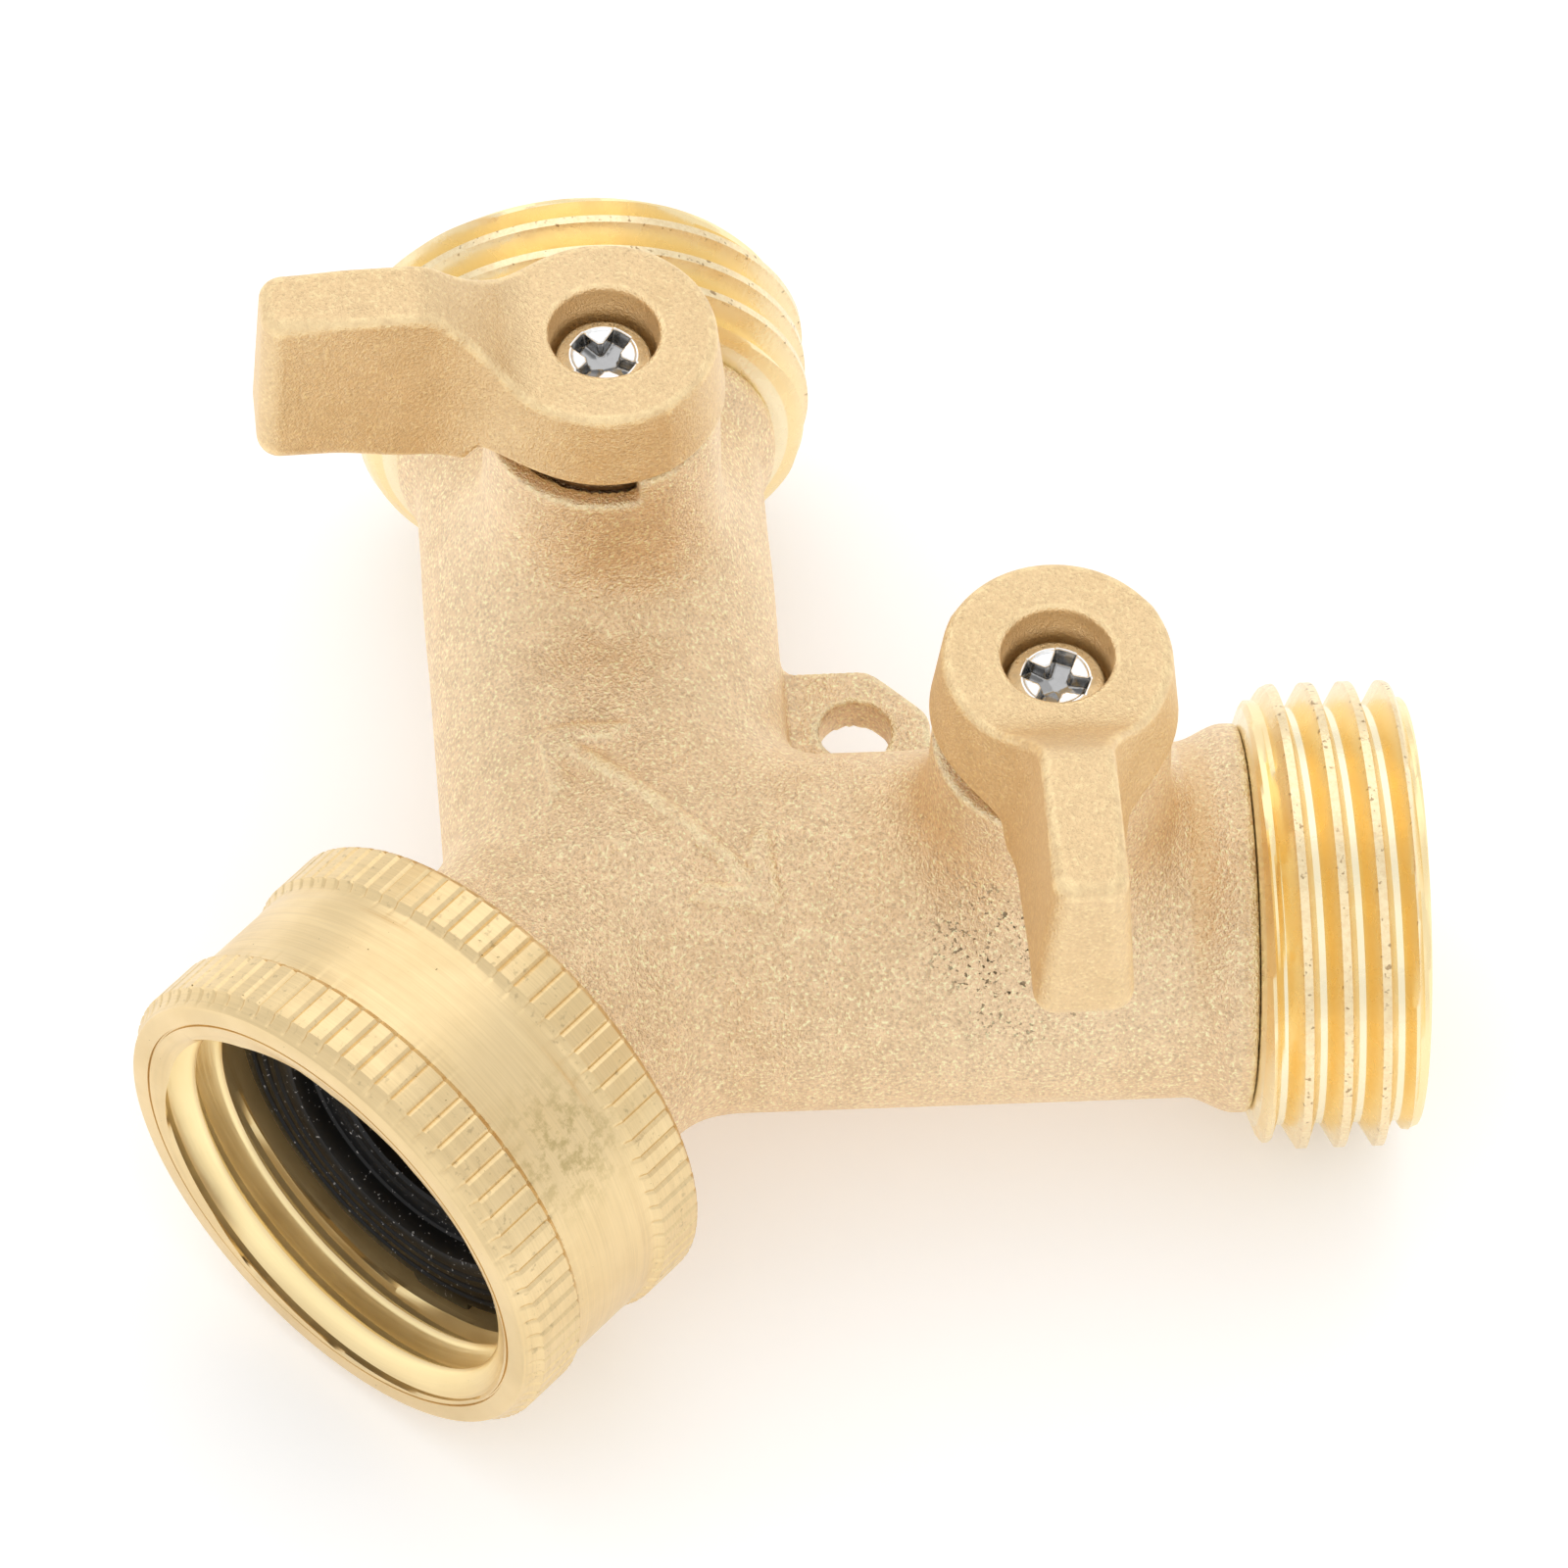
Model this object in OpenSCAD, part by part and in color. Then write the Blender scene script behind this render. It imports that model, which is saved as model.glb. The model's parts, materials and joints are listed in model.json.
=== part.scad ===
// Two-way garden hose splitter with a swivel inlet nut and two ball valves.
// The inlet axis runs along Y and the two outlet arms leave the junction towards +X +Y and -X +Y.
// The origin is on the inlet axis where the nut's internal thread starts. The valve stems point up, along +Z.

/* [Hose thread] */
// Thread pitch, 11.5 turns to the inch
thread_pitch = 2.209; // [2.2:0.001:2.22]
// Outside diameter of the two outlet threads
male_major_d = 26.7; // [26.6:0.05:26.95]
// Crest-to-crest diameter inside the swivel nut
female_minor_d = 24.12; // [24.1:0.02:24.3]
// Radial depth of the thread
thread_depth = 1.4; // [1.3:0.02:1.44]

/* [Cast body] */
// Angle between each outlet arm and the inlet axis
arm_angle = 45.6; // [44.6:0.2:48]
// Outside diameter of the cast tubes
tube_d = 20.4; // [20.2:0.1:21]
// Distance from the start of the inlet thread to the junction of the three tubes
junction_y = 24.4; // [24:0.2:26]
// Distance from the junction to the end of each cast arm
arm_length = 35.1; // [35:0.1:36]
// Diameter of the flared end of each arm
arm_end_d = 22.3; // [22:0.1:23]
// Diameter of the inlet waterway
inlet_bore_d = 14.4; // [13:0.2:15]
// Diameter of the waterway between the junction and each ball
arm_bore_d = 9.6; // [9:0.1:10]

/* [Valves] */
// Distance from the junction to each valve stem
stem_distance = 23.5; // [23.3:0.1:23.7]
// Diameter of the ball
ball_d = 15.2; // [15:0.1:15.4]
// Diameter of the hole through the ball
ball_bore_d = 9.2; // [8.6:0.2:9.4]
// Diameter of the valve stem
stem_d = 8; // [7.8:0.1:8]
// Clearance around the stem and the ball, on the radius
running_gap = 0.08; // [0.05:0.01:0.1]
// How far the left lever stands from closed, towards open, in degrees
left_lever_turn = 1; // [-3:1:45]
// How far the right lever stands from closed, towards open, in degrees
right_lever_turn = -1; // [-3:1:45]

/* [Handles] */
// Height of the top of the handle hub above the inlet axis
hub_top_z = 26.35; // [26:0.05:27]
// Diameter of the hub at its top
hub_top_d = 12.8; // [12.2:0.1:13.2]
// Diameter of the hub at its bottom
hub_bottom_d = 14; // [13.5:0.1:14.2]
// Distance from the stem axis to the end of the lever
lever_reach = 19.9; // [18:0.1:20]
// Width of the lever along its top
lever_top_w = 4.1; // [3.4:0.1:4.6]
// Width of the lever along its bottom
lever_bottom_w = 5.7; // [4.8:0.1:6]
// Height of the lever's raised top above the inlet axis
lever_top_z = 31.1; // [30:0.1:32]

/* [Swivel nut] */
// Diameter over the knurled bands
nut_d = 31; // [30.4:0.1:31.2]
// Length of the nut
nut_length = 14.4; // [14:0.1:15]

/* [Hanging tab] */
// Diameter of the hanging hole
tab_hole_d = 4.2; // [4:0.1:4.6]
// Thickness of the tab
tab_thickness = 2.6; // [2:0.2:3]

/* [Hidden] */
$fn = 96;
left = -1;
right = 1;
eps = 0.01;

tube_r = tube_d / 2;
junction_r = tube_r + 0.2;
arm_flare_start = arm_length - 3.1;
arm_flare_end = arm_length - 0.9;
parting_gap = 0.3;

// inlet end, measured along the inlet axis
nut_face_y = -1.1;
nut_back_y = nut_face_y + nut_length;
mouth_r = female_minor_d / 2 + 2.1;
relief_r = female_minor_d / 2 + thread_depth + 0.1;
back_wall_y = nut_back_y - 2.5;
washer_y = 5.3;
washer_step_y = 6.6;
washer_back_y = 8.1;
washer_r = 12.7;
washer_lip_r = 8.8;
washer_bore_r = 6.4;
washer_ear_r = 13.3;
washer_ear_w = 4;
washer_ears = 2;
first_ear_angle = 77;
spigot_y = washer_back_y + parting_gap;
snap_ring_y = back_wall_y - parting_gap - 0.9;
snap_ring_wire_r = 0.9;
snap_groove_r = tube_r - 0.7;

// valve train, measured along the arm from the junction or upwards from the inlet axis
ball_r = ball_d / 2;
chamber_r = ball_r + 1;
seat_bore_r = 4.9;
seat_inner_l = stem_distance - ball_r - 0.3;
seat_face = 5;
shank_start = stem_distance + ball_r - 0.1;
shank_r = chamber_r - 0.05;
oring_l = shank_start + 2.6;
oring_wire_r = 0.8;

stem_r = stem_d / 2;
tang_w = 2.4;
tang_z = ball_r - 2;
stem_flange_z = ball_r + 0.2;
stem_flange_top = stem_flange_z + 1.1;
stem_flange_r = stem_r + 0.9;
pocket_r = stem_flange_r + 0.3;
thrust_z = stem_flange_top + 0.1;
pocket_top = thrust_z + 0.5;
stem_oring_r = 0.6;
stem_oring_z = [12, 15];
stem_shoulder_z = 17.9;
stem_top_z = 21.3;
drive_r = 3.4;
drive_flat = 5.4;

boss_top_z = 20.4;
boss_top_r = 6.7;
boss_waist_r = 6.85;
boss_waist_z = 13;
boss_foot_r = tube_r - 1.3;
boss_well_r = 5.6;
boss_well_z = 17.6;
stop_floor_z = 19;
stop_slack = 0.5;
lug_half_angle = 14.5;
closed_overtravel = 3;

hub_bottom_z = 20.9;
collar_r = 5.2;
collar_bottom_z = 18.2;
screw_head_r = 2.9;
screw_head_z = 22.3;
counterbore_r = 3.26;
screw_shank_r = 1.95;
screw_tip_z = 16;
lever_root = 7.4;
lever_bottom_z = 19.45;
ramp_start = 5;
ramp_end = 9.8;

nipple_length = 9.7;
nipple_bore_r = 7.5;
first_crest = 1.4;
outer_crests = 4;
inner_crests = 3;
male_r = male_major_d / 2;
crest_w = 0.55;
root_w = 0.5;

// hanging tab, measured from the junction
tab_z = -1.6;
tab_reach = 23.8;
tab_corner_x = 2.3;
tab_root_x = 5.7;
tab_hole_y = 19.9;

// frames of the parts

module at_arm(side) {
    translate([0, junction_y, 0])
        mirror([side == left ? 1 : 0, 0, 0])
            rotate([0, 0, -arm_angle])
                children();
}

module at_stem(side) {
    at_arm(side) translate([0, stem_distance, 0]) children();
}

module at_valve(side) {
    turn = side == left ? left_lever_turn : right_lever_turn;
    at_stem(side) rotate([0, 0, -turn]) children();
}

// A round solid along +Y, from a profile of [radius, distance] points
module along_y(profile) {
    rotate([-90, 0, 0]) rotate_extrude() polygon(profile);
}

module rod_y(r, from, to) {
    translate([0, from, 0]) rotate([-90, 0, 0]) cylinder(r = r, h = to - from);
}

module ring_z(inner_r, outer_r, from, to) {
    translate([0, 0, from])
        difference() {
            cylinder(r = outer_r, h = to - from);
            translate([0, 0, -1]) cylinder(r = inner_r, h = to - from + 2);
        }
}

// The part of a ring between two angles, both less than a half turn from their middle
module ring_sector(inner_r, outer_r, from, to, start_angle, end_angle) {
    reach = 2 * outer_r;
    steps = 6;
    step_angle = (end_angle - start_angle) / steps;
    fan = [for (i = [0:steps]) reach * [cos(start_angle + i * step_angle), sin(start_angle + i * step_angle)]];
    intersection() {
        ring_z(inner_r, outer_r, from, to);
        translate([0, 0, from - 1]) linear_extrude(to - from + 2) polygon(concat([[0, 0]], fan));
    }
}

// Profile points of one thread crest, whose middle is at the distance given
function crest_points(middle, root_r, crest_r) = [
    [root_r, middle - (thread_pitch - root_w) / 2],
    [crest_r, middle - crest_w / 2],
    [crest_r, middle + crest_w / 2],
    [root_r, middle + (thread_pitch - root_w) / 2]
];

function crest_row(count, first, root_r, crest_r) = [
    for (i = [0:count - 1], point = crest_points(first + i * thread_pitch, root_r, crest_r)) point
];

// cast body

module arm_shell() {
    along_y([
        [0, 0], [tube_r, 0], [tube_r, arm_flare_start],
        [arm_end_d / 2, arm_flare_end], [arm_end_d / 2, arm_length], [0, arm_length]
    ]);
    translate([0, stem_distance, 0]) stem_boss();
}

module stem_boss() {
    foot_z = sqrt(tube_r * tube_r - boss_foot_r * boss_foot_r);
    rotate_extrude()
        polygon([
            [0, foot_z], [boss_foot_r, foot_z], [boss_waist_r, boss_waist_z],
            [boss_top_r, boss_top_z], [0, boss_top_z]
        ]);
}

// Everything that is cut from one arm: waterway, ball chamber, stem hole, well and stop notch
module arm_cuts() {
    rod_y(arm_bore_d / 2, 0, seat_inner_l + eps);
    rod_y(chamber_r, seat_inner_l, arm_length + 1);
    translate([0, stem_distance, 0]) {
        cylinder(r = pocket_r, h = pocket_top);
        cylinder(r = stem_r + running_gap, h = boss_top_z + 1);
        translate([0, 0, boss_well_z]) cylinder(r = boss_well_r, h = boss_top_z);
        ring_sector(
            boss_well_r - 0.5, boss_top_r + 1, stop_floor_z, boss_top_z + 1,
            -90 - lug_half_angle - stop_slack, closed_overtravel + lug_half_angle + stop_slack
        );
    }
}

module hanging_tab() {
    shoulder_y = tab_reach - (tab_root_x - tab_corner_x);
    translate([0, junction_y, tab_z - tab_thickness / 2])
        linear_extrude(tab_thickness)
            polygon([
                [0, tube_r], [-tab_root_x - 2, shoulder_y - 2], [-tab_root_x, shoulder_y], [-tab_corner_x, tab_reach],
                [tab_corner_x, tab_reach], [tab_root_x, shoulder_y], [tab_root_x + 2, shoulder_y - 2]
            ]);
}

module cast_body() {
    color("burlywood")
        difference() {
            union() {
                rod_y(tube_r, spigot_y, junction_y);
                translate([0, junction_y, 0]) sphere(r = junction_r);
                for (side = [left, right]) at_arm(side) arm_shell();
                hanging_tab();
            }
            rod_y(inlet_bore_d / 2, spigot_y - 1, junction_y);
            translate([0, junction_y, 0]) sphere(r = inlet_bore_d / 2 + 0.1);
            for (side = [left, right]) at_arm(side) arm_cuts();
            translate([0, junction_y + tab_hole_y, tab_z - tab_thickness])
                cylinder(d = tab_hole_d, h = 2 * tab_thickness);
            translate([0, snap_ring_y, 0])
                along_y([
                    [snap_groove_r, -1], [tube_r + 1, -1], [tube_r + 1, 1], [snap_groove_r, 1]
                ]);
        }
}

// inlet

module inlet_snap_ring() {
    color("darkgoldenrod")
        translate([0, snap_ring_y, 0])
            rotate([-90, 0, 0])
                rotate_extrude()
                    translate([snap_groove_r + snap_ring_wire_r + 0.02, 0]) circle(r = snap_ring_wire_r, $fn = 32);
}

module swivel_nut() {
    crest_r = female_minor_d / 2;
    bore_r = tube_r + running_gap;
    crests = crest_row(inner_crests - 1, thread_pitch, crest_r + thread_depth, crest_r);
    color("goldenrod")
        along_y(concat(
            [[nut_d / 2 - 0.5, nut_face_y], [mouth_r, nut_face_y], [crest_r, -crest_w / 2], [crest_r, crest_w / 2]],
            [[crest_r + thread_depth, (thread_pitch - root_w) / 2]],
            crests,
            [
                [relief_r, washer_y], [relief_r, back_wall_y], [bore_r, back_wall_y], [bore_r, nut_back_y],
                [nut_d / 2 - 0.7, nut_back_y], [nut_d / 2, nut_back_y - 0.7],
                [nut_d / 2, nut_back_y - 3.7], [nut_d / 2 - 0.4, nut_back_y - 3.9],
                [nut_d / 2 - 0.4, nut_face_y + 5.2], [nut_d / 2, nut_face_y + 5], [nut_d / 2, nut_face_y + 0.5]
            ]
        ));
}

// Rubber washer with a step towards its bore and ears that grip the nut
module inlet_washer() {
    thickness = washer_back_y - washer_y;
    color("dimgray") {
        along_y([
            [washer_lip_r, washer_y], [washer_r, washer_y], [washer_r, washer_back_y],
            [washer_bore_r, washer_back_y], [washer_bore_r, washer_step_y], [washer_lip_r, washer_step_y]
        ]);
        intersection() {
            along_y([
                [washer_r - 1, washer_y], [washer_ear_r, washer_y],
                [washer_ear_r, washer_back_y], [washer_r - 1, washer_back_y]
            ]);
            for (i = [0:washer_ears - 1])
                rotate([0, first_ear_angle + i * 360 / washer_ears, 0])
                    translate([0, washer_y, -washer_ear_w / 2]) cube([washer_ear_r + 1, thickness, washer_ear_w]);
        }
    }
}

// outlets

module outlet_nipple() {
    root_r = male_r - thread_depth;
    pilot_step = 0.4;
    nipple_end = arm_length + nipple_length;
    seal_groove_r = shank_r - 2 * oring_wire_r - 0.05;
    color("gold")
        difference() {
            along_y(concat(
                [[0, shank_start], [shank_r, shank_start], [shank_r, oring_l - 1], [seal_groove_r, oring_l - 1]],
                [[seal_groove_r, oring_l + 1], [shank_r, oring_l + 1], [shank_r, arm_length]],
                [[arm_end_d / 2, arm_length]],
                crest_row(outer_crests, arm_length + first_crest, root_r, male_r),
                [[root_r + pilot_step, nipple_end - 0.7], [root_r + pilot_step, nipple_end - 0.2]],
                [[root_r, nipple_end], [0, nipple_end]]
            ));
            rod_y(seat_bore_r, shank_start - 1, arm_length + 1);
            rod_y(nipple_bore_r, arm_length + 0.5, nipple_end + 1);
        }
}

module left_outlet_nipple() at_arm(left) outlet_nipple();
module right_outlet_nipple() at_arm(right) outlet_nipple();

module torus_y(centre_r, wire_r) {
    rotate([-90, 0, 0]) torus_z(centre_r, wire_r);
}

module torus_z(centre_r, wire_r) {
    rotate_extrude() translate([centre_r, 0]) circle(r = wire_r, $fn = 32);
}

module nipple_oring() {
    color("dimgray") translate([0, oring_l, 0]) torus_y(shank_r - oring_wire_r, oring_wire_r);
}

module left_nipple_oring() at_arm(left) nipple_oring();
module right_nipple_oring() at_arm(right) nipple_oring();

// valve seats, hollowed to the ball

module seat(from, to) {
    color("white")
        difference() {
            rod_y(chamber_r - 0.05, from, to);
            rod_y(seat_bore_r, from - 1, to + 1);
            translate([0, stem_distance, 0]) sphere(r = ball_r + running_gap);
        }
}

module inner_seat() seat(seat_inner_l, stem_distance - seat_face);
module outer_seat() seat(stem_distance + seat_face, shank_start - 0.02);

module left_inner_seat() at_arm(left) inner_seat();
module right_inner_seat() at_arm(right) inner_seat();
module left_outer_seat() at_arm(left) outer_seat();
module right_outer_seat() at_arm(right) outer_seat();

// ball, stem and its seals, in the frame of the valve: lever along +X, closed when across the arm

module ball() {
    color("silver")
        difference() {
            sphere(r = ball_r);
            rotate([0, 90, 0]) translate([0, 0, -ball_r - 1]) cylinder(d = ball_bore_d, h = 2 * ball_r + 2);
            translate([-ball_r, -tang_w / 2 - 0.1, tang_z - 0.1]) cube([2 * ball_r, tang_w + 0.2, ball_r]);
        }
}

module stem_body() {
    groove_r = stem_r - 2 * stem_oring_r - 0.1;
    groove_h = 2 * stem_oring_r + 0.3;
    color("khaki")
        difference() {
            union() {
                intersection() {
                    cylinder(r = stem_r - 0.3, h = stem_flange_top);
                    translate([-stem_r, -tang_w / 2, tang_z]) cube([stem_d, tang_w, stem_flange_top]);
                }
                translate([0, 0, stem_flange_z]) cylinder(r = stem_flange_r, h = stem_flange_top - stem_flange_z);
                translate([0, 0, stem_flange_z]) cylinder(r = stem_r, h = stem_shoulder_z - stem_flange_z);
                intersection() {
                    translate([0, 0, stem_flange_z]) cylinder(r = drive_r, h = stem_top_z - stem_flange_z);
                    translate([-stem_r, -drive_flat / 2, stem_flange_z]) cube([stem_d, drive_flat, stem_top_z]);
                }
            }
            for (z = stem_oring_z) ring_z(groove_r, stem_r + 1, z - groove_h / 2, z + groove_h / 2);
            translate([0, 0, screw_tip_z - 0.5]) cylinder(r = screw_shank_r, h = stem_top_z);
        }
}

module stem_oring(z) {
    color("dimgray") translate([0, 0, z]) torus_z(stem_r - stem_oring_r - 0.05, stem_oring_r);
}

module thrust_washer() {
    color("white") ring_z(stem_r + 0.3, stem_flange_r, thrust_z, pocket_top);
}

module left_ball() at_valve(left) ball();
module right_ball() at_valve(right) ball();
module left_stem() at_valve(left) stem_body();
module right_stem() at_valve(right) stem_body();
module left_thrust_washer() at_stem(left) thrust_washer();
module right_thrust_washer() at_stem(right) thrust_washer();
module left_lower_stem_oring() at_valve(left) stem_oring(stem_oring_z[0]);
module right_lower_stem_oring() at_valve(right) stem_oring(stem_oring_z[0]);
module left_upper_stem_oring() at_valve(left) stem_oring(stem_oring_z[1]);
module right_upper_stem_oring() at_valve(right) stem_oring(stem_oring_z[1]);

// handle

// Side outline of the lever, from the hub to its tip, extruded across the given width
module lever_blade(width) {
    tip = lever_reach;
    rotate([90, 0, 0])
        translate([0, 0, -width / 2])
            linear_extrude(width)
                polygon([
                    [ramp_start, hub_bottom_z], [lever_root, hub_bottom_z], [lever_root + 1, lever_bottom_z],
                    [tip - 1, lever_bottom_z], [tip, lever_bottom_z + 1], [tip - 0.5, lever_top_z - 0.6],
                    [tip - 1.1, lever_top_z], [ramp_end, lever_top_z], [ramp_end - 1, lever_top_z - 1],
                    [ramp_start, hub_top_z - 0.6]
                ]);
}

module valve_handle() {
    drive_clear = 0.1;
    color("goldenrod")
        difference() {
            union() {
                translate([0, 0, hub_bottom_z])
                    cylinder(d1 = hub_bottom_d, d2 = hub_top_d, h = hub_top_z - hub_bottom_z);
                translate([0, 0, collar_bottom_z]) cylinder(r = collar_r, h = 3);
                ring_sector(
                    collar_r - 0.5, boss_top_r, stop_floor_z + parting_gap, hub_bottom_z + 0.5,
                    -lug_half_angle, lug_half_angle
                );
                intersection() {
                    lever_blade(lever_bottom_w + 1);
                    lever_draft();
                }
            }
            translate([0, 0, screw_head_z]) cylinder(r = counterbore_r, h = 10);
            translate([0, 0, collar_bottom_z - 1]) cylinder(r = screw_shank_r + drive_clear, h = 10);
            intersection() {
                translate([0, 0, collar_bottom_z - 1]) cylinder(r = drive_r + drive_clear, h = 4.2);
                translate([-stem_r, -drive_flat / 2 - drive_clear, 0]) cube([stem_d, drive_flat + 2 * drive_clear, 30]);
            }
        }
}

// End outline of the lever, which narrows from its bottom to its top
module lever_draft() {
    half_top = lever_top_w / 2;
    half_bottom = lever_bottom_w / 2;
    rotate([90, 0, 90])
        linear_extrude(lever_reach + 1)
            polygon([
                [-half_bottom, lever_bottom_z - 1], [half_bottom, lever_bottom_z - 1],
                [half_top, lever_top_z - 0.4], [half_top - 0.4, lever_top_z + eps],
                [-half_top + 0.4, lever_top_z + eps], [-half_top, lever_top_z - 0.4]
            ]);
}

// Pan head screw with a cross recess
module handle_screw() {
    head_h = 1.6;
    slot_w = 0.9;
    slot_l = 3.4;
    color("silver")
        difference() {
            union() {
                translate([0, 0, screw_tip_z]) cylinder(r = screw_shank_r - 0.05, h = screw_head_z - screw_tip_z + eps);
                translate([0, 0, screw_head_z]) cylinder(r1 = screw_head_r, r2 = screw_head_r - 0.2, h = head_h - 0.5);
                translate([0, 0, screw_head_z + head_h - 0.5]) cylinder(r1 = screw_head_r - 0.2, r2 = 1.6, h = 0.5);
            }
            for (turn = [0, 90])
                rotate([0, 0, turn])
                    translate([-slot_l / 2, -slot_w / 2, screw_head_z + head_h - 1.1]) cube([slot_l, slot_w, 2]);
        }
}

module left_handle() at_valve(left) valve_handle();
module right_handle() at_valve(right) valve_handle();
module left_handle_screw() at_valve(left) handle_screw();
module right_handle_screw() at_valve(right) handle_screw();

cast_body();
inlet_snap_ring();
swivel_nut();
inlet_washer();
left_outlet_nipple();
right_outlet_nipple();
left_nipple_oring();
right_nipple_oring();
left_inner_seat();
right_inner_seat();
left_outer_seat();
right_outer_seat();
left_ball();
right_ball();
left_stem();
right_stem();
left_thrust_washer();
right_thrust_washer();
left_lower_stem_oring();
right_lower_stem_oring();
left_upper_stem_oring();
right_upper_stem_oring();
left_handle();
right_handle();
left_handle_screw();
right_handle_screw();
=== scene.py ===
# Looks of a two-way garden hose splitter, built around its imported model.
import json
import math

import bmesh
import bpy
import numpy as np
from mathutils import Matrix, Vector


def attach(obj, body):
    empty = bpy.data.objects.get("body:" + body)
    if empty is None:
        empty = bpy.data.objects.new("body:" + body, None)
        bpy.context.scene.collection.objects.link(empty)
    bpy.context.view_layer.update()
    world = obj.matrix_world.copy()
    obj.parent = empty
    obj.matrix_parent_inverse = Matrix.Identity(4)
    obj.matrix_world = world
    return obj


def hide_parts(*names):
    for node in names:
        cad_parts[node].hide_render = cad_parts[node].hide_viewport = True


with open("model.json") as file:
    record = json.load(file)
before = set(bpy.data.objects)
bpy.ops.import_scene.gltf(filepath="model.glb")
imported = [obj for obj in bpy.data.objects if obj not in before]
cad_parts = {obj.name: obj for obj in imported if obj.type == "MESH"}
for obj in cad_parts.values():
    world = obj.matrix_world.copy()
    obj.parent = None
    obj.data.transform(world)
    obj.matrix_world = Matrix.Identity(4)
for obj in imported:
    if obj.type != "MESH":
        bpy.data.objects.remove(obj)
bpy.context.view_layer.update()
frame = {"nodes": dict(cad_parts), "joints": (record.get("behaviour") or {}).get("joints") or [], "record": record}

MM = 0.001
RIGHT, LEFT = 1, -1
SIDE_NAMES = {RIGHT: "right", LEFT: "left"}


# ---------------------------------------------------------------- sizes, in millimetres

mounts = {m["name"]: m for m in frame["record"]["mounts"]}
joints = {j["name"]: j for j in frame["joints"]}


def in_mm(point):
    return np.array([coordinate / MM for coordinate in point])


outlet_at = in_mm(mounts["right_outlet"]["pos_m"])
outlet_axis = np.array(mounts["right_outlet"]["axis"])
ARM_ANGLE = math.atan2(outlet_axis[0], outlet_axis[1])
JUNCTION_Y = float(outlet_at[1] - outlet_at[0] / math.tan(ARM_ANGLE))
THREAD_L = float(np.hypot(outlet_at[0], outlet_at[1] - JUNCTION_Y))
stem_at = in_mm(joints["right_valve_turn"]["pos_m"])
STEM_L = float(np.hypot(stem_at[0], stem_at[1] - JUNCTION_Y))


def mesh_mm(node):
    data = frame["nodes"][node].data
    flat = np.zeros(len(data.vertices) * 3, np.float32)
    data.vertices.foreach_get("co", flat)
    return flat.reshape(-1, 3).astype(float) / MM


def arm_frame(side):
    """Matrix in mm from an arm's own frame, +Y along the arm and +X on the lever side, to the CAD frame."""
    mirror = Matrix.Diagonal((side, 1, 1, 1))
    return Matrix.Translation((0, JUNCTION_Y, 0)) @ mirror @ Matrix.Rotation(-ARM_ANGLE, 4, "Z")


def valve_frame(side):
    """As arm_frame, at the stem, with the lever along +X where it stands at rest."""
    at_stem = arm_frame(side) @ Matrix.Translation((0, STEM_L, 0))
    lever = mesh_mm(SIDE_NAMES[side] + "_handle")
    far = lever[np.hypot(lever[:, 0] - side * stem_at[0], lever[:, 1] - stem_at[1]).argmax()]
    tip = at_stem.inverted() @ Vector(lever[np.hypot(*(lever - far)[:, :2].T) < 6].mean(0))
    return at_stem @ Matrix.Rotation(math.atan2(tip[1], tip[0]), 4, "Z")


def moved(points, matrix):
    rotation = np.array(matrix.to_3x3())
    return points @ rotation.T + np.array(matrix.translation)


nipple_mesh = moved(mesh_mm("right_outlet_nipple"), arm_frame(RIGHT).inverted())
nut_mesh = mesh_mm("swivel_nut")
cast_mesh = mesh_mm("cast_body")
washer_mesh = mesh_mm("inlet_washer")
valve_mesh = moved(mesh_mm("right_handle"), valve_frame(RIGHT).inverted())

PITCH = 2.209
THREAD_DEPTH = 1.4
FIRST_CREST = 1.4
SEAM_GAP = 0.1
MERGE = 0.002
SLANT = 0.7071
CREST_W = 0.5
ROOT_W = 0.38
REAR_FLANK_W = 0.5
MALE_R = mounts["right_outlet"]["dims"]["r_mm"]
MALE_ROOT_R = MALE_R - THREAD_DEPTH
FEMALE_R = mounts["inlet"]["dims"]["r_mm"]
FEMALE_ROOT_R = FEMALE_R + THREAD_DEPTH
NIPPLE_END = float(nipple_mesh[:, 1].max())
NUT_FACE = float(nut_mesh[:, 1].min())
NUT_BACK = float(nut_mesh[:, 1].max())
NUT_R = float(np.hypot(nut_mesh[:, 0], nut_mesh[:, 2]).max())
WASHER_Y = float(washer_mesh[:, 1].min())
WASHER_BACK = float(washer_mesh[:, 1].max())
LEVER_REACH = float(valve_mesh[:, 0].max())
LEVER_TOP = float(valve_mesh[:, 2].max())
SEAM_L = THREAD_L - FIRST_CREST - PITCH * 1.5 + SEAM_GAP


# ---------------------------------------------------------------- mesh helpers

def smooth_min(a, b, k):
    """Lower of two distances, rounded into each other over about k."""
    h = np.maximum(k - np.abs(a - b), 0) / k
    return np.minimum(a, b) - h * h * k / 4


def smooth_max(a, b, k):
    return -smooth_min(-a, -b, k)


def rounded_max(a, b, r):
    """Where two walls meet at about a right angle, their edge with the radius given."""
    beyond = np.hypot(np.maximum(a + r, 0), np.maximum(b + r, 0))
    return np.minimum(np.maximum(a, b), -r) + beyond


def capped(distance, along, low, high, k=0.3):
    """A distance cut off at two ends along an axis."""
    return smooth_max(distance, np.maximum(low - along, along - high), k)


def step(x, low, high):
    """0 below low, 1 above high, smooth between."""
    t = np.clip((x - low) / (high - low), 0, 1)
    return t * t * (3 - 2 * t)


def field_gradient(field, points, reach):
    columns = []
    for axis in range(3):
        shift = np.zeros(3)
        shift[axis] = reach
        ahead = field(*(points + shift).T)
        behind = field(*(points - shift).T)
        columns.append((ahead - behind) / (2 * reach))
    return np.stack(columns, 1)


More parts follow.
